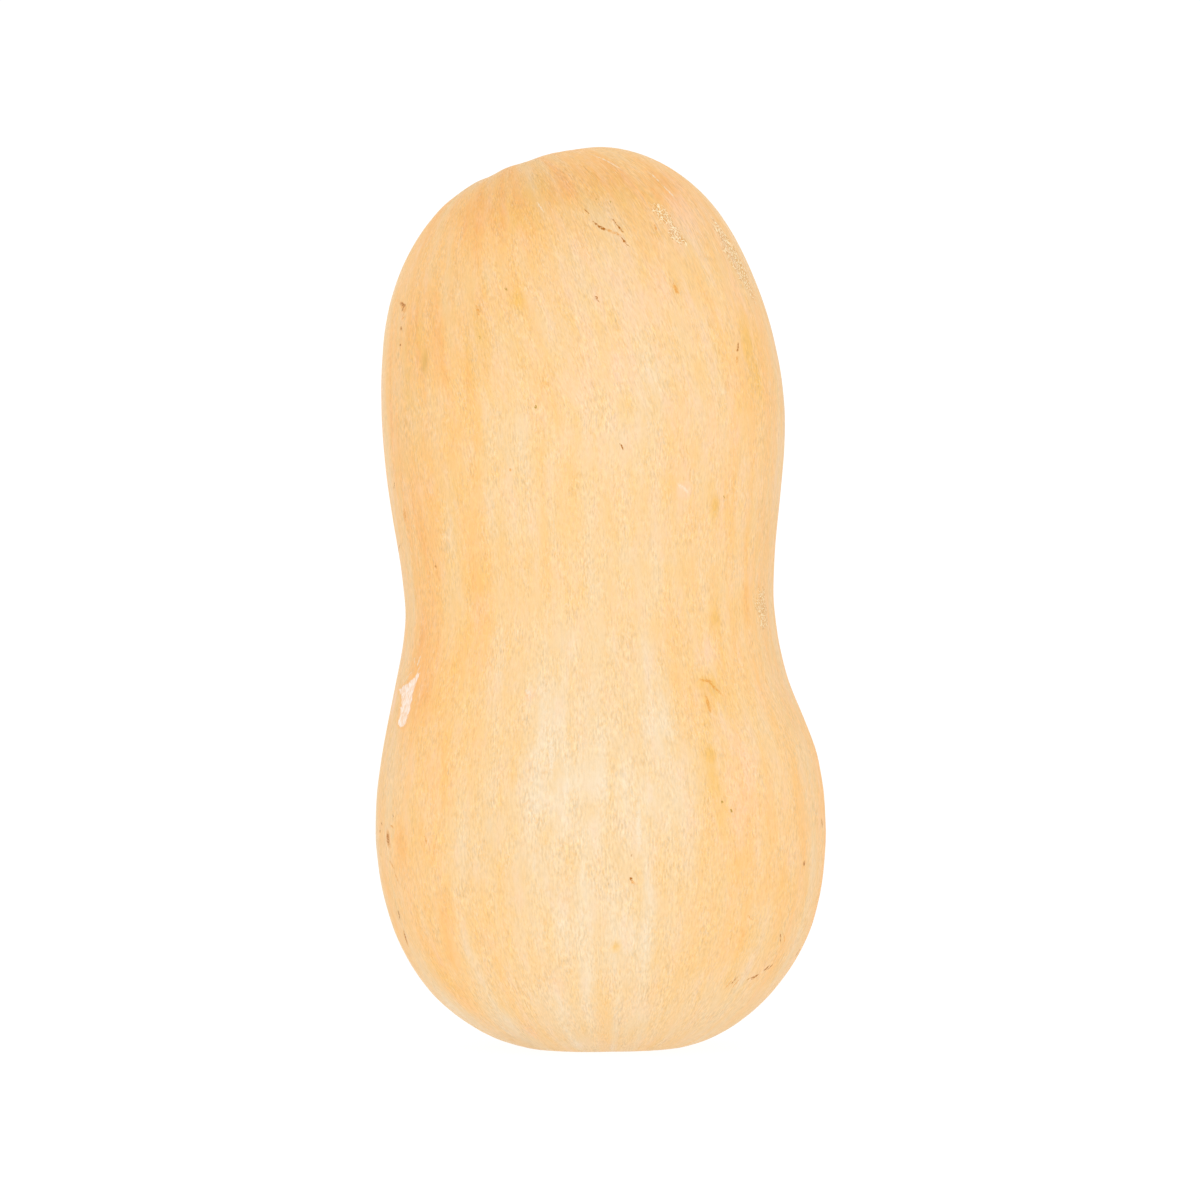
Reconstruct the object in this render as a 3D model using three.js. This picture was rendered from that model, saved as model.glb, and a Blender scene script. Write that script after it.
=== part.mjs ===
// A whole butternut squash, as picked, standing on its blossom end.
// Millimetres, +Z up. The origin is under the middle of the fruit, on the surface that it stands on.
// -Y is the front and +X the right. The stem has come off, and its scar faces up, left and back.
import * as THREE from "three";

// Driving dimensions
const DEPTH_SHARE = 0.975; // front-to-back thickness over side-to-side width
const STEM_END_LEAN = THREE.MathUtils.degToRad(12); // how far the stem end tips backwards
const BACK_DRIFT = 7; // how far the stem end stands behind the blossom end
const RIBS = 10; // faint lengthwise ribs
const RIB_SHARE = 0.005; // their height over the fruit's radius
const LOBES = 5; // the blossom end is faintly lobed, one lobe for each petal that it had
const LOBE_SHARE = 0.02; // their height over the radius
const LOBE_TURN = THREE.MathUtils.degToRad(18); // the first lobe, from the right towards the back

// The two sides of the fruit from the blossom end up to the stem end, as [x, z]. Point number n of
// both sides belongs to the same cross-section, so the sections tilt to the left as the neck bends.
// The sections between the points at z = 0 are the flat ring which the fruit stands on.
const LEFT_SIDE = [
  [1.5, 3], [-6, 2.2], [-13, 0], [-19, 0], [-25.8, 2], [-33.4, 5.9], [-42.8, 14], [-51.8, 29.9],
  [-56.1, 53], [-54.2, 74], [-50.8, 91], [-48.3, 108], [-52, 133], [-54.4, 153], [-53.8, 178],
  [-50.3, 193], [-43.6, 205.3], [-36.6, 212.4], [-31.5, 214.4], [-26.5, 216], [-20, 216.6],
];
const RIGHT_SIDE = [
  [1.5, 3], [9, 2.2], [16, 0], [22, 0], [28, 2.2], [34.3, 5.9], [43.4, 14], [52.8, 29.9],
  [56.3, 53], [54, 74], [46.9, 91], [43, 112], [44.8, 136], [46.3, 157], [43.2, 178],
  [36.6, 196.2], [26, 213.4], [12, 222.6], [1, 224.3], [-9, 220.2], [-20, 216.6],
];

// Facets
const AROUND = 60;
const ALONG = 2 * (LEFT_SIDE.length - 1);

const asCurve = (points) =>
  new THREE.CatmullRomCurve3(points.map(([x, z]) => new THREE.Vector3(x, 0, z)));
const leftSide = asCurve(LEFT_SIDE);
const rightSide = asCurve(RIGHT_SIDE);

// The skin's point at a turn (0 to 1, from the right towards the back) and a share of the way up
// (0 at the blossom end, 1 at the stem end)
function skin(turn, share) {
  const angle = 2 * Math.PI * turn;
  const left = leftSide.getPoint(share);
  const right = rightSide.getPoint(share);
  const middle = left.clone().add(right).multiplyScalar(0.5);
  middle.y = BACK_DRIFT * THREE.MathUtils.smoothstep(share, 0.45, 1);

  const across = right.clone().sub(left).multiplyScalar(0.5);
  const lean = STEM_END_LEAN * THREE.MathUtils.smoothstep(share, 0.7, 1);
  const inwards = new THREE.Vector3(0, Math.cos(lean), -Math.sin(lean));
  inwards.multiplyScalar(DEPTH_SHARE * across.length());

  const nearFoot = 1 - THREE.MathUtils.smoothstep(share, 0.15, 0.4);
  const ribbing = RIB_SHARE * Math.cos(RIBS * angle);
  const lobing = LOBE_SHARE * nearFoot * Math.cos(LOBES * (angle - LOBE_TURN));
  const swell = 1 + ribbing + lobing;
  const point = middle
    .addScaledVector(across, swell * Math.cos(angle))
    .addScaledVector(inwards, swell * Math.sin(angle));
  point.z = Math.max(point.z, 0);
  return point;
}

// A closed ball of facets, each of whose corners moves to its place on the skin
function squash() {
  const shape = new THREE.SphereGeometry(1, AROUND, ALONG);
  const { position, uv } = shape.attributes;
  for (let i = 0; i < position.count; i++) {
    const { x, y, z } = skin(uv.getX(i), uv.getY(i));
    position.setXYZ(i, x, y, z);
  }
  shape.computeVertexNormals();
  return shape;
}

const rind = new THREE.MeshStandardMaterial({ color: 0xf2cb98, roughness: 0.55, metalness: 0 });

const fruit = new THREE.Mesh(squash(), rind);
fruit.name = "butternut_squash";

const part = new THREE.Group();
part.add(fruit);

export default part;
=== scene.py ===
"""A whole butternut squash, as picked, standing on its blossom end on a plain pale floor.

The skin is one closed mesh, finer than the CAD fruit that it lies on. Its corners come from rays cast
outwards from a core line inside the fruit, evened out so that no facet shows, and then it gets its lumps,
dents and scars. Its colour is one node material: a tone from deep orange to cream, painted on the mesh
in broad zones and broken up by streaks along the meridians, with each mark of the rind laid over it.
The broad zones hold painted light and shade too: the rind is painted paler over the middle of its front
and at its foot, and darker down its sides and over its top.
Places on the rind are in millimetres: x to the right and z up, seen from the front, or else the turn
away from the front to the right, in degrees, and z. The camera, the floor and the lamp are in metres.
"""
import math

import bpy
import numpy as np
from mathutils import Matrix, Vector, noise
from mathutils.bvhtree import BVHTree


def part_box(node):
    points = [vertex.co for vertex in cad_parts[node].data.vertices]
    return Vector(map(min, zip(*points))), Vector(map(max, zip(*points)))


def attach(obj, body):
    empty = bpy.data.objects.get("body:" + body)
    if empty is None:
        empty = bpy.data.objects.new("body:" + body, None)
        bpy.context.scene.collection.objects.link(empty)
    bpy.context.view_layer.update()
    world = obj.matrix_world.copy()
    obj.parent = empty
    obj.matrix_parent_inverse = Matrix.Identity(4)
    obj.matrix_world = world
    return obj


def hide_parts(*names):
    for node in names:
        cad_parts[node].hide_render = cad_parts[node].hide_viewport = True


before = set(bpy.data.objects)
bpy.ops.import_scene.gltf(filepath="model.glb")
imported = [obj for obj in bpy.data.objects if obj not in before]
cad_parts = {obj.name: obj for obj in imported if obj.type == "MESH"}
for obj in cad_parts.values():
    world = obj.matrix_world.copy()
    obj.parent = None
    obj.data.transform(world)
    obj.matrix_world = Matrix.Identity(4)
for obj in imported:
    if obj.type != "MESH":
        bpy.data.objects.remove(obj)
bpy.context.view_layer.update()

MM = 0.001
GIRTH = 50.0  # the radius, in mm, at which the streaks have their stated width
OUTSIDE = -9.0  # what stands for far outside an outline or a patch
NODE = "butternut_squash"

# ---------------------------------------------------------------- the camera, level with the fruit's middle
VIEW_WIDTH = 0.300  # what the frame takes in, at the fruit
CAMERA_DISTANCE = 1.4
CAMERA_HEIGHT = 0.1116
EYE = Vector((0, -CAMERA_DISTANCE, CAMERA_HEIGHT))


def add_camera():
    camera = bpy.data.objects.new("camera", bpy.data.cameras.new("camera"))
    bpy.context.collection.objects.link(camera)
    camera.location = EYE
    camera.rotation_euler = (math.radians(90), 0, 0)
    camera.data.lens = camera.data.sensor_width * CAMERA_DISTANCE / VIEW_WIDTH
    bpy.context.scene.camera = camera


add_camera()


# ---------------------------------------------------------------- the skin's shape
AROUND = 336  # the grid's columns
ALONG = 288  # and its rows of faces
LOW_CORE = 0.24  # the core line's ends, as shares of the height
HIGH_CORE = 0.70
LOW_CAP = 0.28  # the shares of the way up where the rays stop fanning out from the low end,
HIGH_CAP = 0.70  # and start fanning out from the high one
BLOSSOM_END = Vector((0.0015, 0.0))  # where the two ends are, seen from above
STEM_END = Vector((-0.0200, 0.0070))
EVEN_OUT = 3.0  # how far the CAD's facets are evened out, in rows and columns
SLICE = 0.03  # a level's middle is found from the corners this near to it, as a share of the height
FALLOFF = 0.8  # how much weaker each finer octave of the streaks is
LACUNARITY = 2.0  # and how much finer

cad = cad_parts[NODE]
cad_corners = np.array([cad.matrix_world @ v.co for v in cad.data.vertices])
cad_surface = BVHTree.FromPolygons(
    [tuple(corner) for corner in cad_corners], [tuple(face.vertices) for face in cad.data.polygons])
low_corner, high_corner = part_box(NODE)
HEIGHT = high_corner[2] - low_corner[2]


def smoothstep(x, low, high):
    """0 up to low, 1 from high on, and smooth between."""
    t = np.clip((np.asarray(x, float) - low) / (high - low), 0, 1)
    return t * t * (3 - 2 * t)


def middle_at(share):
    """The middle of the fruit at a share of its height."""
    z = share * HEIGHT
    ring = cad_corners[abs(cad_corners[:, 2] - z) < SLICE * HEIGHT]
    x, y = (ring[:, :2].min(0) + ring[:, :2].max(0)) / 2
    return Vector((x, y, z))


def cast(origin, direction):
    """The distance from origin to the CAD's surface."""
    return cad_surface.ray_cast(origin, direction)[3]


low_core = middle_at(LOW_CORE)
high_core = middle_at(HIGH_CORE)
blossom = cad_surface.ray_cast(Vector((*BLOSSOM_END, -1)), Vector((0, 0, 1)))[0]
stem = cad_surface.ray_cast(Vector((*STEM_END, 1)), Vector((0, 0, -1)))[0]
down = (blossom - low_core).normalized()
up = (stem - high_core).normalized()


def ray(turn, share):
    """The core point and the direction of the ray to the skin at a turn, in radians from the front to
    the right, and a share of the way from the blossom end, 0, to the stem end, 1."""
    level = Vector((math.sin(turn), -math.cos(turn), 0))
    if share < LOW_CAP:
        fan = math.pi / 2 * (1 - share / LOW_CAP)
        return low_core, (level * math.cos(fan) + down * math.sin(fan)).normalized()
    if share > HIGH_CAP:
        fan = math.pi / 2 * (share - HIGH_CAP) / (1 - HIGH_CAP)
        return high_core, (level * math.cos(fan) + up * math.sin(fan)).normalized()
    return low_core.lerp(high_core, (share - LOW_CAP) / (HIGH_CAP - LOW_CAP)), level


def even_out(rows):
    """Blurs an array of rows from pole to pole; past a pole the rows go on down the far side."""
    reach = int(3 * EVEN_OUT) + 1
    weights = np.exp(-0.5 * (np.arange(-reach, reach + 1) / EVEN_OUT) ** 2)
    weights /= weights.sum()
    far = np.roll(rows, AROUND // 2, axis=1)
    padded = np.vstack([far[reach:0:-1], rows, far[-2:-2 - reach:-1]])
    along = sum(w * padded[k:k + len(rows)] for k, w in enumerate(weights))
    return sum(w * np.roll(along, k - reach, axis=1) for k, w in enumerate(weights))


def grid_normals(points):
    """The outward normal at each point of a grid of rows from the blossom end up, columns to the right."""
    beyond = np.roll(points, AROUND // 2, axis=1)
    tall = np.vstack([beyond[1:2], points, beyond[-2:-1]])
    upwards = tall[2:] - tall[:-2]
    round_it = np.roll(points, -1, axis=1) - np.roll(points, 1, axis=1)
    # at the poles every column has the same point, so the row next to it says which way is round
    round_it[0] = round_it[1]
    round_it[-1] = round_it[-2]
    normals = np.cross(round_it, upwards)
    return normals / np.linalg.norm(normals, axis=2, keepdims=True)


def skin_grid():
    """The evened-out skin's points, as rows of columns."""
    turns = np.linspace(0, 2 * math.pi, AROUND, endpoint=False)
    shares = np.linspace(0, 1, ALONG + 1)
    cores = np.empty((ALONG + 1, AROUND, 3))
    ways = np.empty((ALONG + 1, AROUND, 3))
    reach = np.empty((ALONG + 1, AROUND))
    for i, share in enumerate(shares):
        for j, turn in enumerate(turns):
            core, way = ray(turn, share)
            cores[i, j], ways[i, j] = core, way
            reach[i, j] = cast(core, way)
    return cores + ways * even_out(reach)[..., None]


def turn_of_columns():
    """Each column's turn in degrees, from the front to the right."""
    turns = np.linspace(0, 360, AROUND, endpoint=False)
    return np.where(turns > 180, turns - 360, turns)


def up_the_skin(rows):
    """How far each row lies from the blossom end along the skin, in mm."""
    steps = np.linalg.norm(np.diff(rows, axis=0), axis=2).mean(1)
    return np.concatenate([[0], np.cumsum(steps)])[:, None] / MM


def streaks(rows, width, length, seed, octaves=2):
    """Noise over the grid, from about -0.5 to 0.5, in streaks along the meridians that are width mm wide
    and length mm long."""
    spin = np.radians(turn_of_columns())
    low = up_the_skin(rows)
    round_it = np.stack([np.cos(spin), np.sin(spin)], -1) * GIRTH / width
    values = np.empty(rows.shape[:2])
    for i, level in enumerate(low[:, 0] / length):
        for j, (x, y) in enumerate(round_it):
            values[i, j] = noise.fractal((x + seed, y - seed, level), FALLOFF, LACUNARITY, octaves)
    return values


def lumps(rows, size, seed, along=1.0):
    """Soft noise from -1 to 1 over the grid, in lumps size mm wide and along times as tall."""
    scale = 1 / (size * MM)
    stretch = Vector((scale, scale, scale / along))
    shift = Vector((seed, 2 * seed, 3 * seed))
    values = [noise.noise(Vector(p) * stretch + shift) for p in rows.reshape(-1, 3)]
    return np.array(values).reshape(rows.shape[:2])


# ---------------------------------------------------------------- places on the skin
def on_front(x, z):
    """The point of the rind that is seen from the front in line with (x, z) on the fruit's middle plane,
    and its normal. Where nothing is in line with it, the nearest point."""
    aim = Vector((x * MM, 0, z * MM))
    place, normal = cad_surface.ray_cast(EYE, (aim - EYE).normalized())[:2]
    if place is None:
        place, normal = cad_surface.find_nearest(aim)[:2]
    return place, normal


def on_turn(turn, z):
    """The point of the rind at a height, turned away from the front to the right by some degrees."""
    spin = math.radians(turn)
    middle = middle_at(z * MM / HEIGHT)
    return cad_surface.ray_cast(middle, Vector((math.sin(spin), -math.cos(spin), 0)))[0]


def spots(front, elsewhere):
    """The centre on the rind of each spot in two tables, and the rest of its row. On the front a spot's
    place is (x, z), and elsewhere it is (turn, z)."""
    for x, z, *rest in front:
        yield on_front(x, z)[0], rest
    for turn, z, *rest in elsewhere:
        yield on_turn(turn, z), rest


def away_from(points, centre, half_width, half_height, lean=0.0):
    """How far each point lies from an oval's centre, 1 at its edge; it leans right by lean mm per mm up."""
    x, y, z = np.moveaxis((points - np.array(centre)) / MM, -1, 0)
    return np.hypot(np.hypot(x - lean * z, y) / half_width, z / half_height)


def washes(points, front, elsewhere):
    """The sum of soft oval zones."""
    total = np.zeros(points.shape[:2])
    for centre, (half_width, half_height, amount) in spots(front, elsewhere):
        total += amount * np.exp(-away_from(points, centre, half_width, half_height) ** 2)
    return total


def seen_from_front(points):
    """Where each point is seen from the front, as x and z on the fruit's middle plane in mm."""
    x, y, z = np.moveaxis(points, -1, 0)
    nearer = CAMERA_DISTANCE / (CAMERA_DISTANCE + y)
    return np.stack([x * nearer, CAMERA_HEIGHT + (z - CAMERA_HEIGHT) * nearer], -1) / MM


def inside(shape, points):
    """How far each point lies inside a closed outline on the front, in mm, and less than 0 outside it. The
    outline's corners are (x, z) as seen from the front."""
    corners = [np.array(corner) for corner in shape]
    p = seen_from_front(points)
    nearest = np.full(p.shape[:-1], np.inf)
    crossings = np.zeros(p.shape[:-1], int)
    for a, b in zip(corners, corners[1:] + corners[:1]):
        edge = b - a
        t = np.clip(((p - a) @ edge) / (edge @ edge), 0, 1)
        nearest = np.minimum(nearest, np.linalg.norm(p - a - t[..., None] * edge, axis=-1))
        if edge[1]:
            spans = (a[1] > p[..., 1]) != (b[1] > p[..., 1])
            crossings += spans & (p[..., 0] < a[0] + (p[..., 1] - a[1]) / edge[1] * edge[0])
    signed = np.where(crossings % 2 == 1, nearest, -nearest)
    return np.where(points[..., 1] < 0, signed, OUTSIDE)


# ---------------------------------------------------------------- the skin's relief
SCAR_RADIUS = 9.5  # the stem's scar, in mm
NAVEL_RADIUS = 4.0  # the blossom's scar
SCAR_LOBES = 5  # the corners of the stem's scar; twice as many folds run out from it
SCAR_TURN = 0.6  # how far round its corners stand, in radians
SCAR_DEPTH = 0.9  # how far the stem's scar is sunk
PEEL_DEPTH = 0.4  # how far the peeled flake's bare patch is
CORK_HEIGHT = 0.18  # how far a corky patch stands out

# The flake that has peeled off on the left, as (x, z) seen from the front
PEEL = [
    (-44.9, 94.2), (-45.3, 92.2), (-46.0, 91.0), (-46.5, 89.2), (-46.9, 88.0), (-46.9, 86.6),
    (-47.4, 85.8), (-47.5, 83.8), (-48.2, 82.6), (-48.1, 81.6), (-48.9, 80.6), (-49.1, 79.6),
    (-50.1, 79.9), (-50.5, 81.2), (-50.0, 83.0), (-50.0, 84.6), (-49.5, 86.0), (-49.5, 87.4),
    (-50.4, 89.0), (-49.4, 89.9), (-47.4, 91.2), (-46.2, 92.4),
]
# Corky patches, as (x or turn, height, half the width, half the height, lean)
CORK_FRONT = [
    (15.6, 208.0, 2.6, 4.2, -0.42), (19.0, 203.0, 2.6, 3.6, -0.42), (33.4, 197.0, 5.5, 12.0, -0.5),
    (40.2, 109.8, 5.0, 6.0, 0.0),
]
CORK_ELSEWHERE = [(148, 176, 5, 9, 0.2), (-121, 128, 4, 8, -0.1), (-158, 61, 7, 5, 0.4)]


def cork_patches(points):
    """1 in the middle of each corky patch, 0 at its edge and less outside."""
    best = np.full(points.shape[:2], OUTSIDE)
    for centre, oval in spots(CORK_FRONT, CORK_ELSEWHERE):
        best = np.maximum(best, 1 - away_from(points, centre, *oval))
    return best


def relief(rows):
    """How far the rind stands out at each grid point, in mm."""
    spin = np.radians(turn_of_columns())
    low = up_the_skin(rows)
    high = low[-1] - low
    swells = 0.24 * lumps(rows, 26, seed=3.1, along=1.8) + 0.07 * lumps(rows, 9, seed=7.7, along=2.2)
    wrinkles = 0.04 * lumps(rows, 2.4, seed=1.9, along=4)

    # the stem's scar is a sunken corky plate in a low rim, and folds of the skin run out from it
    lobes = np.cos(SCAR_LOBES * spin + SCAR_TURN)
    edge = SCAR_RADIUS * (1 + 0.07 * lobes + 0.05 * np.cos(3 * spin))
    plate = 1 - smoothstep(high, edge - 1.6, edge)
    rim = np.exp(-((high - edge - 0.8) / 1.3) ** 2)
    fibres = 0.22 * lumps(rows, 1.6, seed=5.2) + 0.25 * lobes * smoothstep(high, 1, 5)
    pith = np.exp(-(high / 1.8) ** 2)
    folds = np.cos(2 * SCAR_LOBES * spin + 1.5) * np.exp(-((high - edge - 5) / 6) ** 2)
    stem_end = plate * (-SCAR_DEPTH + fibres - 0.5 * pith) + 0.4 * rim + 0.15 * folds

    # the blossom's scar is a small corky button in the middle of its dimple
    button = 1 - smoothstep(low, NAVEL_RADIUS - 1, NAVEL_RADIUS)
    creases = np.cos(5 * spin) * np.exp(-((low - 7) / 3.5) ** 2)
    blossom_end = 0.5 * button - 0.25 * creases

    peeled = smoothstep(inside(PEEL, rows), -0.3, 0.5)
    cork = smoothstep(cork_patches(rows), 0, 0.5)
    clear_of_ends = smoothstep(low, 4, 16) * smoothstep(high, 8, 20)
    lumpy = (swells + wrinkles) * clear_of_ends
    return lumpy + stem_end + blossom_end - PEEL_DEPTH * peeled + CORK_HEIGHT * cork


# ---------------------------------------------------------------- the rind's broad colours
# Washes are (x on the front or turn elsewhere, height, half the width, half the height, how much).
# These make the rind paler than its middle tone, or deeper where the amount is below 0. On the front they
# are partly the rind's own paler and deeper streaks and patches, and partly painted light and shade:
# painted light over the middle of the front and at the foot, painted shade down both sides and over the top
TONE_AND_PAINTED_LIGHT_FRONT = [
    (0, 207, 10, 5, 0.09), (18, 211, 4, 4, -0.08), (-36, 138, 3, 8, 0.10), (-24, 138, 3, 8, -0.08),
    (12, 112, 3, 5, -0.10), (12, 90, 3, 5, -0.11), (-36, 92, 4, 8, -0.08), (36, 112, 3, 6, -0.09),
    (47, 90, 3, 6, 0.12), (-30, 186, 3, 5, -0.08), (42, 187, 3, 5, 0.10), (-36, 18, 3, 4, 0.10),
    (-12, 84, 4, 6, 0.05), (12, 18, 4, 5, 0.08), (-42, 66, 4, 12, -0.06), (-48, 92, 4, 16, -0.12),
    (49, 56, 5, 14, -0.12), (42, 46, 3, 14, -0.12), (-42, 50, 3, 5, -0.12), (-36, 34, 3, 4, -0.12),
    (-37, 66, 3, 6, -0.10), (-29, 50, 4, 22, 0.10), (-34, 18, 4, 5, 0.10), (-33, 138, 5, 18, 0.10),
    (-12, 150, 4, 14, 0.09), (6, 140, 5, 24, 0.10), (6, 190, 8, 16, 0.09), (-6, 210, 4, 4, 0.15),
    (18, 210, 4, 4, -0.12), (22, 108, 5, 14, 0.10), (6, 66, 4, 6, 0.14), (10, 32, 5, 18, 0.10),
    (-6, 38, 5, 9, 0.09), (36, 112, 4, 7, -0.12), (25, 66, 4, 5, 0.10), (-47, 178, 3, 5, -0.12),
    (-28, 186, 4, 4, -0.09), (33, 34, 4, 5, 0.09), (-42, 18, 4, 5, -0.10), (0, 0, 40, 6, -0.12),
    (-51.4, 86.4, 1.5, 3.6, 0.4), (-54, 50, 4, 40, -0.10), (-53, 165, 4, 36, -0.10),
    (56, 60, 4, 50, -0.10), (52, 160, 4, 44, -0.10), (-41, 11, 6, 8, -0.12), (41, 12, 6, 8, -0.12),
    (-26, 124, 5, 16, 0.07), (6, 124, 4, 8, 0.07), (22, 122, 4, 10, 0.07), (-7, 74, 4, 6, 0.08),
    (24, 74, 3, 6, 0.10), (-40, 50, 4, 6, -0.08), (24, 98, 7, 5, 0.08), (18, 170, 4, 6, 0.07),
    (-24, 50, 4, 6, 0.08), (0, 210, 8, 6, 0.14), (19, 211, 5, 5, -0.16), (-47, 182, 5, 12, -0.12),
    (8, 178, 12, 9, 0.10), (-12, 152, 4, 14, 0.08), (-36, 141, 4, 8, 0.12), (18, 118, 5, 8, 0.12),
    (-43, 90, 8, 8, -0.10), (-14, 85, 8, 10, 0.10), (25, 76, 4, 8, 0.12), (-39, 66, 7, 9, -0.12),
    (-27, 68, 4, 10, 0.10), (8, 60, 6, 12, 0.14), (45, 52, 5, 22, -0.12), (-50, 50, 5, 8, -0.12),
    (-38, 34, 6, 7, -0.13), (9, 27, 8, 10, 0.12), (-27, 22, 6, 9, 0.10), (-34, 11, 5, 5, -0.12),
    (2, 70, 15, 26, 0.13), (0, 28, 16, 12, 0.12), (18, 130, 6, 20, 0.13), (15, 172, 7, 14, 0.13),
    (5, 196, 9, 12, 0.11), (-9, 130, 8, 20, 0.07), (-48, 50, 7, 26, -0.13), (48, 44, 5, 24, -0.14),
    (-46, 98, 6, 16, -0.10), (-25, 184, 9, 10, -0.10), (-31, 168, 5, 12, -0.12),
    (16, 217, 10, 5, -0.12), (2, 56, 24, 44, 0.20), (-17, 70, 10, 34, 0.26), (12, 62, 8, 22, 0.08),
    (-6, 30, 12, 14, 0.12), (0, 2, 60, 14, 0.26), (-30, 208, 14, 8, -0.18), (-44, 176, 6, 20, -0.16),
    (18, 215, 12, 6, -0.14), (8, 150, 22, 46, 0.12), (-42, 120, 12, 120, -0.14),
    (41, 172, 6, 12, -0.20), (38, 60, 11, 42, -0.10), (-14, 214, 30, 14, -0.16),
    (14, 218, 26, 10, -0.10), (-43, 86, 6, 16, -0.12),
]
TONE_ELSEWHERE = [
    (150, 90, 20, 70, 0.14), (-150, 140, 18, 60, -0.16), (110, 150, 12, 60, -0.12),
    (-105, 60, 16, 40, 0.12), (180, 190, 30, 26, -0.12), (-100, 180, 14, 34, -0.10),
    (95, 60, 16, 40, 0.08), (-178, 40, 25, 25, 0.10),
]
# These take its hue towards gold
GOLD_FRONT = [
    (27, 91, 2.5, 1.2, 0.7), (28, 86, 2.2, 3.6, 0.5), (28, 73, 1.0, 1.6, 0.2), (29, 135, 1.3, 2.4, 0.3),
    (-43.8, 171, 1.0, 2.4, 0.6), (14.5, 203, 0.9, 1.2, 0.9), (19, 202, 1.6, 2.4, 0.8),
    (38, 172, 4.5, 9, 0.8), (-21, 186.5, 2.2, 3.2, 0.7), (-29, 178, 4.5, 13, 0.35),
    (27.5, 88.5, 3.2, 5, 0.8), (27.8, 73, 1.2, 1.8, 0.9), (29, 66, 3, 14, 0.35),
    (-34, 120, 7, 60, 0.18), (29, 135, 1.8, 3.2, 0.5), (28.8, 107, 1.6, 1.4, 0.5),
    (19, 189.5, 1.2, 2, 0.5), (-20, 209, 12, 8, 0.3), (4, 25, 1.2, 1.6, 0.7), (-47, 172, 4, 16, 0.4),
    (-38, 17, 5, 6, 0.3), (5, 214, 12, 7, 0.2),
]
GOLD_ELSEWHERE = [
    (160, 120, 7, 20, 0.5), (-140, 90, 7, 14, 0.5), (120, 70, 5, 9, 0.5), (-100, 150, 4, 16, 0.4),
]
# These take its hue towards pink
BLUSH_FRONT = [
    (-51.4, 86.4, 1.5, 3.6, 1.3), (-50, 110, 6, 80, 0.3), (46, 110, 6, 100, 0.25), (22, 208, 9, 8, 0.6),
    (33, 192, 6, 12, 0.4), (21, 139, 1.8, 1.5, 1.2), (36, 66, 6, 16, 0.5), (-17.8, 88, 1.2, 1.4, 1.0),
    (27, 98, 4, 4, 0.5), (2, 172, 16, 24, 0.3), (10, 190, 10, 10, 0.3), (30, 150, 10, 16, 0.3),
]
BLUSH_ELSEWHERE = [(130, 100, 20, 70, 0.5), (-125, 90, 14, 80, 0.5)]
# These make it a little lighter, or darker below 0, without a change of hue. A few are darker tan spots of
# the rind's own; the rest are painted light and shade: painted shade down both sides and over the top, at
# the back too, and painted light low on the front and at the foot
SPOTS_AND_PAINTED_LIGHT_FRONT = [
    (-44, 150, 12, 60, -0.025), (43, 140, 10, 70, -0.015), (-20, 10, 60, 6, 0.015),
    (-40, 188, 8, 24, -0.02), (36, 190, 8, 16, -0.02), (-10, 218, 30, 6, -0.03),
    (-43.8, 171, 1.1, 2.6, -0.15), (28.8, 107, 1.4, 1.4, -0.05), (28, 73, 1.0, 1.6, -0.04),
    (29, 135, 1.3, 2.4, -0.05), (19, 189.5, 1.0, 1.4, -0.04), (27.8, 90, 3, 2, -0.04),
    (-32, 176, 4, 14, -0.02), (37, 172, 4, 9, -0.02), (-14, 214, 30, 12, -0.08),
    (-20, 188, 30, 20, -0.03), (20, 206, 20, 14, -0.04), (-50, 170, 10, 40, -0.03),
    (-50, 90, 12, 50, -0.04), (46, 170, 10, 40, -0.04), (46, 90, 12, 50, -0.035),
    (-14, 22, 30, 14, 0.02),
]
# painted shade over the top at the back
PAINTED_SHADE_ELSEWHERE = [(180, 205, 40, 20, -0.04)]


def rind_fields(rows):
    """What the material reads at each point of the skin."""
    spin = np.radians(turn_of_columns())
    low = up_the_skin(rows)
    grain = np.stack(np.broadcast_arrays(GIRTH * np.cos(spin), GIRTH * np.sin(spin), low), -1)
    bands = streaks(rows, 6, 70, seed=1.0)
    ribbons = streaks(rows, 2.6, 12, seed=4.0)
    clouds = lumps(rows, 14, seed=2.0, along=1.5) + 0.5 * lumps(rows, 6, seed=12.0, along=1.5)
    tints = streaks(rows, 3.5, 10, seed=14.0, octaves=3)
    # on the front the tone's washes hold painted light and shade as well as the rind's own tone
    tone = washes(rows, TONE_AND_PAINTED_LIGHT_FRONT, TONE_ELSEWHERE) + 0.27 * bands + 0.08 * ribbons + 0.16 * clouds
    return {
        "grain": grain,
        "tone": tone,
        "gold": washes(rows, GOLD_FRONT, GOLD_ELSEWHERE) + 0.30 * tints,
        "blush": washes(rows, BLUSH_FRONT, BLUSH_ELSEWHERE) - 0.38 * tints,
        # a few darker spots, with painted light at the foot and painted shade on the sides and top
        "shade": washes(rows, SPOTS_AND_PAINTED_LIGHT_FRONT, PAINTED_SHADE_ELSEWHERE),
        "fuzz": np.clip(0.8 + 0.7 * streaks(rows, 3.5, 9, seed=31.0), 0.2, 1.4),
        "peel": inside(PEEL, rows),
        "cork": cork_patches(rows),
        "from_stem": np.broadcast_to(low[-1] - low, rows.shape[:2]),
        "from_blossom": np.broadcast_to(low, rows.shape[:2]),
    }


# ---------------------------------------------------------------- the skin's mesh
FOOT_REACH = 20.0  # how far up the fruit gives way where it rests, in mm
FOOT_GIVE = 0.1  # and by how much


def settle(points):
    """Flattens the foot where the fruit rests."""
    foot = 1 - smoothstep(points[..., 2], 0, FOOT_REACH * MM)
    sink = points[..., 2].min() + FOOT_GIVE * MM
    points[..., 2] = np.maximum(points[..., 2] - sink * foot, 0)


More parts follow.
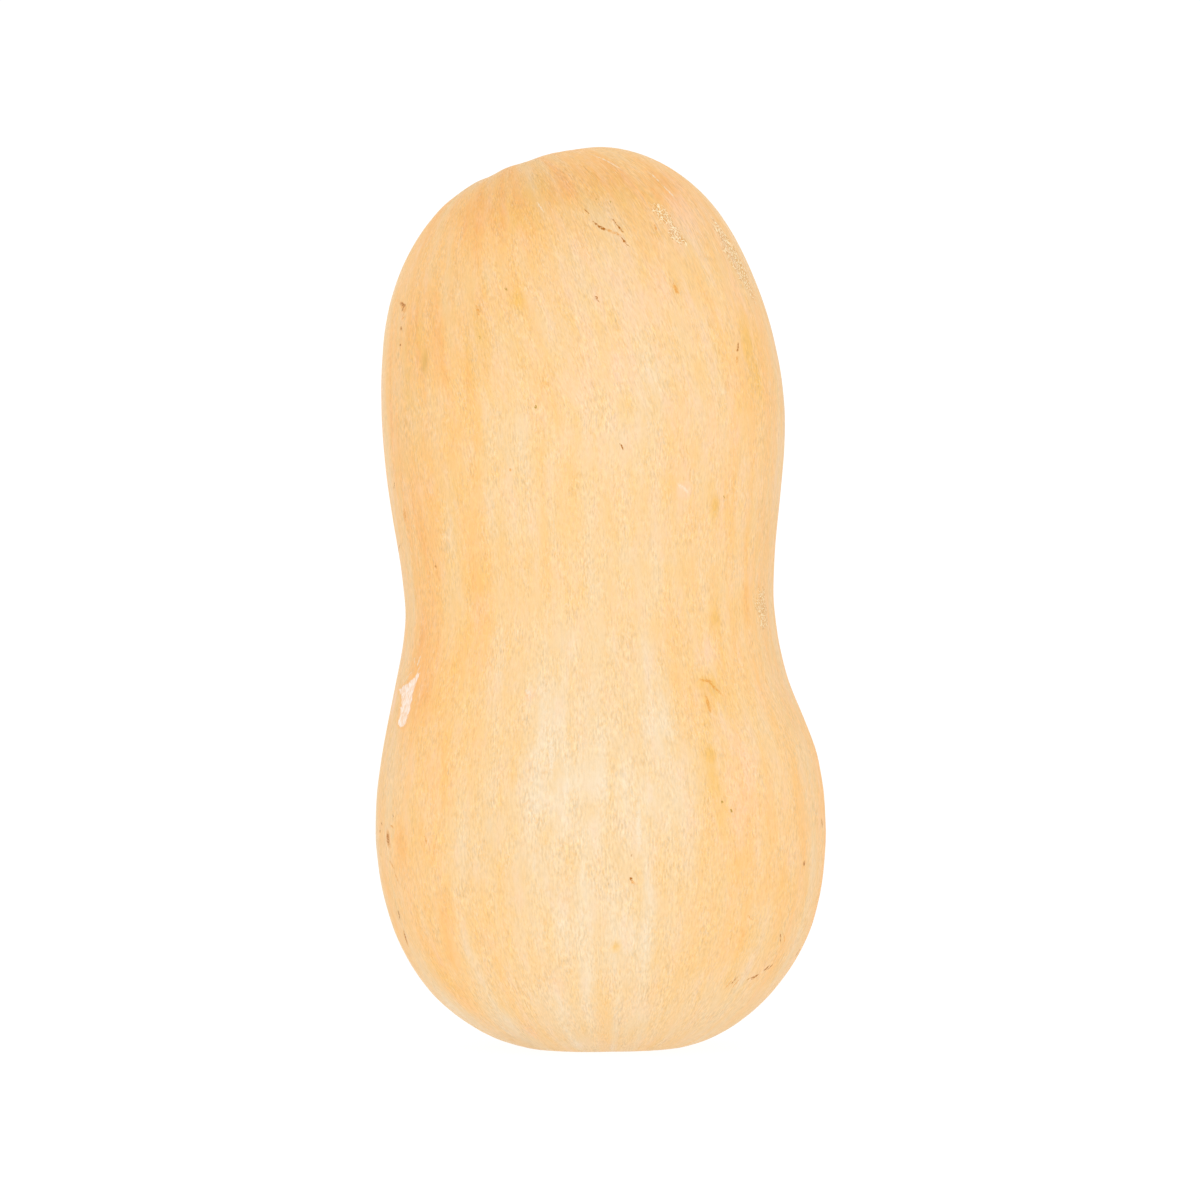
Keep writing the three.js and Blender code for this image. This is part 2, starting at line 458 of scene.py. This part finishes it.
def build_skin(points, fields):
    """One closed mesh of the grid, with each field as an attribute of its points, and a map for baking."""
    mesh = bpy.data.meshes.new("skin")
    inner = points[1:-1].reshape(-1, 3)
    corners = np.vstack([points[0, :1], inner, points[-1, :1]])
    last = len(corners) - 1
    faces, places = [], []

    def corner(i, j):
        if i == 0:
            return 0
        if i == ALONG:
            return last
        return 1 + (i - 1) * AROUND + j % AROUND

    for i in range(ALONG):
        for j in range(AROUND):
            ring = [(i, j), (i, j + 1), (i + 1, j + 1), (i + 1, j)]
            # the faces at the two ends are triangles that meet in one corner
            if i == 0:
                ring = [(i, j + 0.5), (i + 1, j + 1), (i + 1, j)]
            if i == ALONG - 1:
                ring = [(i, j), (i, j + 1), (i + 1, j + 0.5)]
            faces.append([corner(a, int(b)) for a, b in ring])
            places.extend((b / AROUND, a / ALONG) for a, b in ring)
    mesh.from_pydata(corners.tolist(), [], faces)
    bake_map = mesh.uv_layers.new(name="OFBake")
    bake_map.uv.foreach_set("vector", np.array(places, dtype=np.float32).ravel())
    for name, field in fields.items():
        between = field[1:-1].reshape(-1, *field.shape[2:])
        values = np.concatenate([field[0, :1], between, field[-1, :1]])
        kind, slot = ("FLOAT_VECTOR", "vector") if values.ndim == 2 else ("FLOAT", "value")
        attribute = mesh.attributes.new(name, kind, "POINT")
        attribute.data.foreach_set(slot, values.astype(np.float32).ravel())
    mesh.shade_smooth()
    mesh.validate()
    piece = bpy.data.objects.new("skin", mesh)
    bpy.context.collection.objects.link(piece)
    return piece


# ---------------------------------------------------------------- the rind's material
GLOSS = 0.012  # what the sheen adds to the colour
DIM = 1.04  # how bright the light is at the sides
LIT = 1.18  # and at the front


def seen(red, green, blue, light):
    """How much of each colour the rind reflects to be seen as this sRGB colour in a light."""
    def linear(c):
        c /= 255
        return c / 12.92 if c <= 0.04045 else ((c + 0.055) / 1.055) ** 2.4
    return (*(max(linear(c) - GLOSS, 0) / light for c in (red, green, blue)), 1)


DEEP = seen(249, 184, 112, DIM)
ORANGE = seen(250, 197, 130, DIM)
PEACH = seen(252, 210, 152, (DIM + LIT) / 2)
CREAM = seen(254, 222, 176, LIT)
PALE = seen(254, 234, 203, LIT)
GOLDEN = seen(243, 192, 106, DIM)
PINK = seen(253, 208, 172, DIM)
FIBRE = seen(249, 188, 104, DIM)
UMBER = seen(176, 108, 36, DIM)
RUST = seen(226, 152, 62, DIM)
OLIVE = seen(176, 140, 56, DIM)
CORKY = seen(253, 234, 194, DIM)
BARE = seen(254, 238, 224, DIM)
FLESH = seen(246, 210, 176, DIM)
# painted shadow beside the raised lines of the corky net
PAINTED_NET_SHADOW = seen(204, 142, 68, DIM)
TAN = seen(222, 178, 118, DIM)
SPECULAR = 0.12  # a dull, waxy rind
MIDDLE_TONE = 0.46  # where the rind lies from deep orange, 0, to palest, 1, with no wash or noise
OVERALL = 0.988  # how bright the whole rind is
FINE_LINES = 0.26  # how strong the short fibres are


class Nodes:
    """A material's node tree, written as sums."""

    def __init__(self, name):
        self.material = bpy.data.materials.new(name)
        self.material.use_nodes = True
        self.tree = self.material.node_tree
        self.shader = self.tree.nodes["Principled BSDF"]

    def put(self, socket, value):
        """Links a socket to an output, or sets it to a plain value."""
        if isinstance(value, bpy.types.NodeSocket):
            self.tree.links.new(value, socket)
        else:
            socket.default_value = value

    def node(self, kind, inputs=(), **settings):
        node = self.tree.nodes.new(kind)
        for name, value in settings.items():
            setattr(node, name, value)
        for name, value in dict(inputs).items():
            self.put(node.inputs[name], value)
        return node

    def math(self, operation, a, b=0.0):
        return self.node("ShaderNodeMath", {0: a, 1: b}, operation=operation).outputs[0]

    def vector(self, operation, a, b):
        return self.node("ShaderNodeVectorMath", {0: a, 1: b}, operation=operation).outputs[0]

    def dot(self, a, b):
        return self.node("ShaderNodeVectorMath", {0: a, 1: b}, operation="DOT_PRODUCT").outputs["Value"]

    def add(self, *terms):
        total = terms[0]
        for term in terms[1:]:
            total = self.math("ADD", total, term)
        return total

    def times(self, a, b):
        return self.math("MULTIPLY", a, b)

    def fade(self, value, low, high, to_low=0.0, to_high=1.0):
        """value goes smoothly from to_low at low to to_high at high, and stays there outside."""
        inputs = {"Value": value, "From Min": low, "From Max": high}
        inputs |= {"To Min": to_low, "To Max": to_high}
        return self.node("ShaderNodeMapRange", inputs, interpolation_type="SMOOTHSTEP").outputs["Result"]

    def mix(self, amount, a, b):
        """Colour a, with an amount of colour b. These are the numbers of the node's colour sockets."""
        return self.node("ShaderNodeMix", {0: amount, 6: a, 7: b}, data_type="RGBA").outputs[2]

    def attribute(self, name, output="Fac"):
        return self.node("ShaderNodeAttribute", attribute_name=name).outputs[output]

    def noise(self, place, size, seed, detail=2.0, roughness=0.5):
        """Noise about 0, mostly from -0.25 to 0.25, in lumps of a size in mm, one or three ways."""
        sizes = size if isinstance(size, tuple) else (size, size, size)
        inputs = {"Vector": place, "Location": (seed, 2 * seed, 3 * seed)}
        inputs["Scale"] = [1 / each for each in sizes]
        lumps = self.node("ShaderNodeMapping", inputs).outputs[0]
        inputs = {"Vector": lumps, "Scale": 1.0, "Detail": detail, "Roughness": roughness}
        return self.math("SUBTRACT", self.node("ShaderNodeTexNoise", inputs).outputs["Fac"], 0.5)

    def wander(self, place, size, reach):
        """The place, pushed about by up to reach, in lumps of a size."""
        inputs = {"Vector": place, "Scale": 1 / size, "Detail": 1.0}
        push = self.node("ShaderNodeTexNoise", inputs).outputs["Color"]
        centred = self.vector("SUBTRACT", push, (0.5, 0.5, 0.5))
        push = self.vector("MULTIPLY", centred, (2 * reach, 2 * reach, 2 * reach))
        return self.vector("ADD", place, push)

    def ramp(self, value, stops):
        """The colour at a value, between stops of (value, colour)."""
        node = self.node("ShaderNodeValToRGB", {0: value})
        elements = node.color_ramp.elements
        while len(elements) < len(stops):
            elements.new(0.5)
        for element, (place, colour) in zip(elements, stops):
            element.position = place
            element.color = colour
        return node.outputs["Color"]

    def lines(self, value, width):
        """1 where a value crosses 0, and 0 once it is width away: in a noise, thin wavering lines."""
        return self.fade(self.math("ABSOLUTE", value), width, 0.0)


# Thin marks on the rind, as (x, z) at one end, (x, z) at the other, and the width, all in mm as seen
# from the front
UMBER_MARKS = [
    ((-1.6, 206.2), (0.0, 204.9), 0.5), ((-0.3, 205.0), (1.6, 204.2), 0.6),
    ((5.0, 202.6), (7.2, 200.1), 0.35), ((3.2, 206.9), (4.4, 205.4), 0.3),
    ((4.4, 205.4), (5.7, 203.7), 0.4), ((-3.8, 209.3), (-2.8, 208.3), 0.35),
    ((-1.0, 187.5), (-0.3, 186.2), 0.4), ((5.0, 150.6), (5.8, 149.4), 0.5),
    ((-51.4, 140.8), (-51.6, 139.4), 0.4), ((-50.0, 125.4), (-50.6, 123.2), 0.4),
    ((-41.1, 120.1), (-40.9, 119.8), 0.5), ((34.5, 175.8), (34.3, 173.8), 0.5),
    ((-49.8, 185.7), (-48.9, 185.2), 0.8), ((-49.1, 184.9), (-49.5, 184.0), 0.4),
    ((-49.9, 179.7), (-49.8, 179.2), 0.5), ((-50.0, 175.5), (-50.0, 175.2), 0.4),
    ((-53.0, 53.0), (-52.8, 50.8), 0.6), ((-54.6, 55.8), (-54.4, 55.4), 0.4),
    ((-51.8, 57.9), (-51.6, 57.5), 0.4), ((-55.1, 54.0), (-55.1, 53.6), 0.4),
    ((-50.2, 34.0), (-49.8, 32.0), 0.4), ((-48.9, 28.6), (-48.0, 25.6), 0.5),
    ((7.9, 47.9), (7.9, 47.7), 0.3), ((7.8, 42.1), (7.8, 41.6), 0.5),
    ((51.0, 46.2), (50.9, 45.4), 0.45), ((38.0, 17.0), (39.4, 17.8), 0.6),
    ((36.8, 16.8), (38.2, 17.4), 0.3), ((41.0, 19.0), (42.4, 20.2), 0.35),
    ((41.8, 19.1), (43.3, 20.4), 0.3), ((49.0, 22.8), (49.9, 24.2), 0.5),
    ((32.6, 15.6), (34.2, 17.3), 0.25), ((55.4, 56.8), (55.6, 54.8), 0.35),
    ((45.2, 28.0), (45.1, 26.3), 0.3),
]
RUST_MARKS = [
    ((-53.1, 53.6), (-52.6, 50.2), 1.2), ((-49.9, 185.8), (-48.7, 184.4), 1.4),
    ((-49.0, 28.8), (-47.9, 25.4), 0.9), ((1.6, 204.4), (5.0, 202.9), 0.7),
    ((-49.3, 185.4), (-49.0, 183.4), 0.6), ((-49.0, 182.4), (-49.6, 181.8), 0.5),
    ((-48.4, 184.8), (-49.4, 182.6), 0.4), ((18.4, 190.4), (19.4, 188.4), 0.8),
    ((13.7, 205.4), (14.2, 203.6), 0.5), ((-52.3, 55.2), (-51.6, 54.6), 0.5),
    ((-52.4, 46.4), (-51.2, 44.4), 0.4), ((-51.2, 43.6), (-50.2, 40.8), 0.35),
    ((25.0, 91.6), (27.6, 91.2), 0.7), ((27.2, 91.0), (30.4, 88.0), 0.7),
    ((26.4, 87.6), (27.6, 83.6), 0.7), ((34.3, 172.2), (34.2, 170.8), 0.6),
    ((-30.8, 185.2), (-30.2, 182.8), 0.6), ((-49.0, 134.0), (-48.8, 131.6), 0.7),
    ((37.0, 32.6), (37.8, 31.8), 0.5), ((46.0, 28.2), (46.2, 26.2), 0.3),
    ((-22.5, 144.2), (-22.4, 143.8), 0.5), ((31.4, 14.6), (32.8, 16.4), 0.25),
    ((33.2, 15.0), (35.0, 17.0), 0.25), ((-43.9, 52.4), (-43.5, 50.8), 0.4),
    ((7.9, 41.4), (8.5, 40.8), 0.6), ((39.6, 112.6), (40.4, 110.6), 0.5),
    ((40.6, 110.4), (40.2, 108.2), 0.5), ((41.2, 108.8), (41.2, 107.0), 0.4),
]
OLIVE_MARKS = [
    ((-23.6, 189.5), (-23.4, 189.1), 0.5), ((-16.1, 160.0), (-16.1, 159.6), 0.45),
    ((30.5, 61.2), (30.7, 61.0), 0.5), ((32.7, 59.1), (32.9, 58.7), 0.5),
    ((31.0, 137.4), (31.1, 137.3), 0.4), ((-30.2, 177.5), (-30.0, 177.1), 0.4),
    ((-1.0, 212.0), (-0.9, 211.8), 0.3), ((2.6, 211.4), (2.8, 211.1), 0.3),
]
PALE_MARKS = [
    ((12.0, 218.8), (15.6, 215.6), 0.3), ((15.6, 215.6), (19.0, 211.7), 0.3),
    ((-2.1, 223.2), (5.0, 219.6), 0.3), ((-15.6, 210.8), (-14.2, 208.6), 0.3),
    ((19.8, 140.4), (22.0, 138.6), 0.8), ((-18.2, 88.8), (-17.6, 88.0), 1.0),
    ((-44.8, 97.4), (-45.6, 95.2), 0.4), ((-46.4, 97.0), (-46.2, 95.4), 0.3),
    ((-45.0, 94.8), (-46.4, 91.8), 0.5), ((-12.4, 78.0), (-12.0, 68.0), 0.9),
    ((9.6, 60.0), (9.8, 50.0), 1.3), ((-47.0, 93.6), (-49.6, 90.2), 0.3),
]
# A mark is widened on rind that turns away, to be seen as wide as it says, but no further than this
LEAST_FACING = 0.3
# The square of the way from a mark's middle to its edge at which it is gone, and at which it is full
MARK_GONE, MARK_FULL = 1.7, 0.3


def stroke(nodes, position, start, end, width):
    """The square of how far each place lies from the middle of a thin oval mark, 1 at the mark's edge.
    These are plain sums only: with a Mapping node for every mark the material is too big to render."""
    a, normal = on_front(*start)
    b = on_front(*end)[0]
    along = b - a
    reach = along.length / 2 + width * MM / 2
    along.normalize()
    across = normal.cross(along).normalized()
    facing = max(math.hypot(across.x, across.z), LEAST_FACING)
    offset = nodes.vector("SUBTRACT", position, (a + b) / 2)
    lengthwise = nodes.dot(offset, along / reach)
    crosswise = nodes.dot(offset, across * facing / (width * MM / 2))
    return nodes.add(nodes.times(lengthwise, lengthwise), nodes.times(crosswise, crosswise))


def rind_material():
    nodes = Nodes("rind")
    shader = nodes.shader
    place = nodes.node("ShaderNodeTexCoord").outputs["Object"]
    in_mm = nodes.vector("MULTIPLY", place, (1 / MM, 1 / MM, 1 / MM))
    straight = nodes.attribute("grain", "Vector")
    grain = nodes.wander(straight, size=3.0, reach=0.7)
    fuzz = nodes.attribute("fuzz")

    strokes = nodes.noise(grain, (1.8, 1.8, 8), seed=4.0, roughness=0.55)
    mottle = nodes.noise(grain, (1.3, 1.3, 2.0), seed=6.0, roughness=0.65)
    hairs = nodes.times(nodes.noise(straight, (0.42, 0.42, 1.5), seed=9.0, detail=1.0), fuzz)

    # the tone goes from deep orange to cream; on the front it holds painted light and shade as well
    tone = nodes.add(
        MIDDLE_TONE,
        nodes.attribute("tone"),
        nodes.times(strokes, 0.28),
        nodes.times(mottle, 0.25),
        nodes.times(hairs, 0.05),
    )
    tones = [(0.0, DEEP), (0.25, ORANGE), (0.5, PEACH), (0.75, CREAM), (1.0, PALE)]
    colour = nodes.ramp(tone, tones)

    # the hue goes towards gold or pink in patches
    gold = nodes.add(nodes.attribute("gold"), nodes.times(mottle, 0.6))
    colour = nodes.mix(nodes.fade(gold, -0.1, 0.9, 0.0, 0.85), colour, GOLDEN)
    blush = nodes.add(nodes.attribute("blush"), nodes.times(strokes, 0.7))
    colour = nodes.mix(nodes.fade(blush, -0.1, 0.9, 0.0, 0.7), colour, PINK)

    # fine short fibres, darker and paler than the rind between them
    fibres = nodes.noise(grain, (0.8, 0.8, 2.8), seed=21.0, detail=1.0, roughness=0.6)
    threads = nodes.noise(grain, (0.7, 0.7, 2.2), seed=25.0, detail=1.0, roughness=0.6)
    for mask, paint in ((nodes.lines(fibres, 0.06), FIBRE), (nodes.lines(threads, 0.05), PALE)):
        colour = nodes.mix(nodes.times(mask, nodes.times(fuzz, FINE_LINES)), colour, paint)

    # the finest hairs are only darker and lighter, and over them go the shade washes: a few darker spots,
    # and painted light at the foot and painted shade down the sides and over the top
    brightness = nodes.add(OVERALL, nodes.attribute("shade"), nodes.times(hairs, 0.5))
    colour = nodes.vector("MULTIPLY", colour, brightness)

    # the marks, whose edges wander a little and whose paint is broken
    position = nodes.wander(place, size=0.6 * MM, reach=0.4 * MM)
    broken = nodes.fade(nodes.noise(in_mm, 0.5, seed=53.0, detail=1.0), -0.14, 0.06, 0.3, 1.0)
    front_half = nodes.fade(nodes.dot(place, (0, 1, 0)), 2 * MM, -2 * MM)
    for marks, paint, strength in (
        (PALE_MARKS, PALE, 0.8),
        (RUST_MARKS, RUST, 0.7),
        (OLIVE_MARKS, OLIVE, 0.95),
        (UMBER_MARKS, UMBER, 1.0),
    ):
        away = stroke(nodes, position, *marks[0])
        for mark in marks[1:]:
            away = nodes.math("MINIMUM", away, stroke(nodes, position, *mark))
        mask = nodes.times(nodes.times(nodes.fade(away, MARK_GONE, MARK_FULL), front_half), broken)
        colour = nodes.mix(nodes.times(mask, strength), colour, paint)

    # the corky patches: a net of raised pale lines, with a painted shadow in a thin brown line beside them
    # in each gap
    inputs = {"Vector": nodes.vector("MULTIPLY", grain, (1, 1, 0.6)), "Scale": 1.6}
    voronoi = nodes.node("ShaderNodeTexVoronoi", inputs, feature="DISTANCE_TO_EDGE")
    cells = voronoi.outputs["Distance"]
    in_cork = nodes.fade(nodes.add(nodes.attribute("cork"), nodes.times(mottle, 1.6)), 0.05, 0.4)
    net = nodes.times(nodes.fade(cells, 0.11, 0.03), in_cork)
    net_shadow = nodes.times(nodes.lines(nodes.add(cells, -0.22), 0.1), in_cork)
    colour = nodes.mix(nodes.times(in_cork, 0.15), colour, RUST)
    # painted shadow beside the net's raised lines
    colour = nodes.mix(nodes.times(net_shadow, nodes.fade(mottle, -0.2, 0.1, 0.4, 1.0)), colour, PAINTED_NET_SHADOW)
    colour = nodes.mix(net, colour, CORKY)

    # the peeled flake, with a torn edge and a deeper rim round it, a painted shadow where the rind steps
    # down to the bare patch
    torn = nodes.add(nodes.attribute("peel"), nodes.noise(in_mm, (0.8, 0.8, 1.2), seed=31.0))
    # painted shadow round the torn edge
    colour = nodes.mix(nodes.times(nodes.fade(torn, -0.9, -0.2), 0.35), colour, DEEP)
    peeled = nodes.fade(torn, -0.1, 0.15)
    torn_fibres = nodes.fade(nodes.noise(in_mm, (0.5, 0.5, 1.8), seed=41.0), -0.12, 0.12)
    colour = nodes.mix(peeled, colour, nodes.mix(torn_fibres, FLESH, BARE))

    # the two ends' scars
    fibre = nodes.noise(in_mm, 0.8, seed=37.0, detail=4.0, roughness=0.7)
    scar_colour = nodes.ramp(nodes.add(fibre, 0.5), [(0.3, UMBER), (0.5, TAN), (0.7, CORKY)])
    from_stem = nodes.add(nodes.attribute("from_stem"), nodes.times(mottle, 3.0))
    on_stem = nodes.fade(from_stem, SCAR_RADIUS + 0.6, SCAR_RADIUS - 0.8)
    from_blossom = nodes.add(nodes.attribute("from_blossom"), nodes.times(mottle, 2.0))
    on_blossom = nodes.fade(from_blossom, NAVEL_RADIUS + 0.3, NAVEL_RADIUS - 0.8)
    on_scar = nodes.math("MAXIMUM", on_stem, on_blossom)
    colour = nodes.mix(on_scar, colour, scar_colour)

    # the rind is duller where it is bare, and its hairs stand out a little, on the scars more
    bare = nodes.add(peeled, in_cork, on_scar)
    roughness = nodes.add(0.5, nodes.times(strokes, 0.15), nodes.times(bare, 0.2))
    scar_fibres = nodes.times(hairs, nodes.times(on_scar, 0.8))
    height = nodes.add(nodes.times(hairs, 0.16), scar_fibres, nodes.times(net, 0.04))
    bump = nodes.node("ShaderNodeBump", {"Height": height, "Distance": MM, "Strength": 1.0})
    nodes.put(shader.inputs["Base Color"], colour)
    nodes.put(shader.inputs["Specular IOR Level"], SPECULAR)
    nodes.put(shader.inputs["Roughness"], roughness)
    nodes.put(shader.inputs["Normal"], bump.outputs[0])
    return nodes.material


even_skin = skin_grid()
points = even_skin + grid_normals(even_skin) * relief(even_skin)[..., None] * MM
settle(points)
skin = build_skin(points, rind_fields(points))
skin.data.materials.append(rind_material())
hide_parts(NODE)
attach(skin, "root")


# ---------------------------------------------------------------- the floor and the light
FLOOR_REACH = 20.0
FLOOR_GREY = 0.12  # how much light the floor reflects
FLOOR_GLOW = 0.93  # how much it gives, so that it is plain and pale right up to the fruit
STUDIO = 1.07  # the soft light from all round
KEY_POWER = 3.6  # the lamp in front, in watts
KEY_SIZE = 0.6
KEY_PLACE = Vector((0.0, -1.3, 0.06))
KEY_AIM = Vector((0.0, 0.0, 0.09))


def add_floor():
    mesh = bpy.data.meshes.new("floor")
    corners = [(x * FLOOR_REACH, y * FLOOR_REACH, 0) for x, y in ((-1, -1), (1, -1), (1, 1), (-1, 1))]
    mesh.from_pydata(corners, [], [(0, 1, 2, 3)])
    floor = bpy.data.objects.new("floor", mesh)
    bpy.context.collection.objects.link(floor)
    pale = Nodes("floor")
    for name, value in {
        "Base Color": (FLOOR_GREY, FLOOR_GREY, FLOOR_GREY, 1),
        "Roughness": 1,
        "Specular IOR Level": 0,
        "Emission Color": (1, 1, 1, 1),
        "Emission Strength": FLOOR_GLOW,
    }.items():
        pale.put(pale.shader.inputs[name], value)
    mesh.materials.append(pale.material)


def add_light():
    world = bpy.data.worlds.new("studio")
    world.use_nodes = True
    background = world.node_tree.nodes["Background"]
    background.inputs["Color"].default_value = (1, 1, 1, 1)
    background.inputs["Strength"].default_value = STUDIO
    bpy.context.scene.world = world
    lamp = bpy.data.lights.new("key", "AREA")
    lamp.energy = KEY_POWER
    lamp.size = KEY_SIZE
    key = bpy.data.objects.new("key", lamp)
    bpy.context.collection.objects.link(key)
    key.location = KEY_PLACE
    key.rotation_euler = (KEY_AIM - KEY_PLACE).to_track_quat("-Z", "Y").to_euler()
    bpy.context.scene.view_settings.view_transform = "Standard"


add_floor()
add_light()
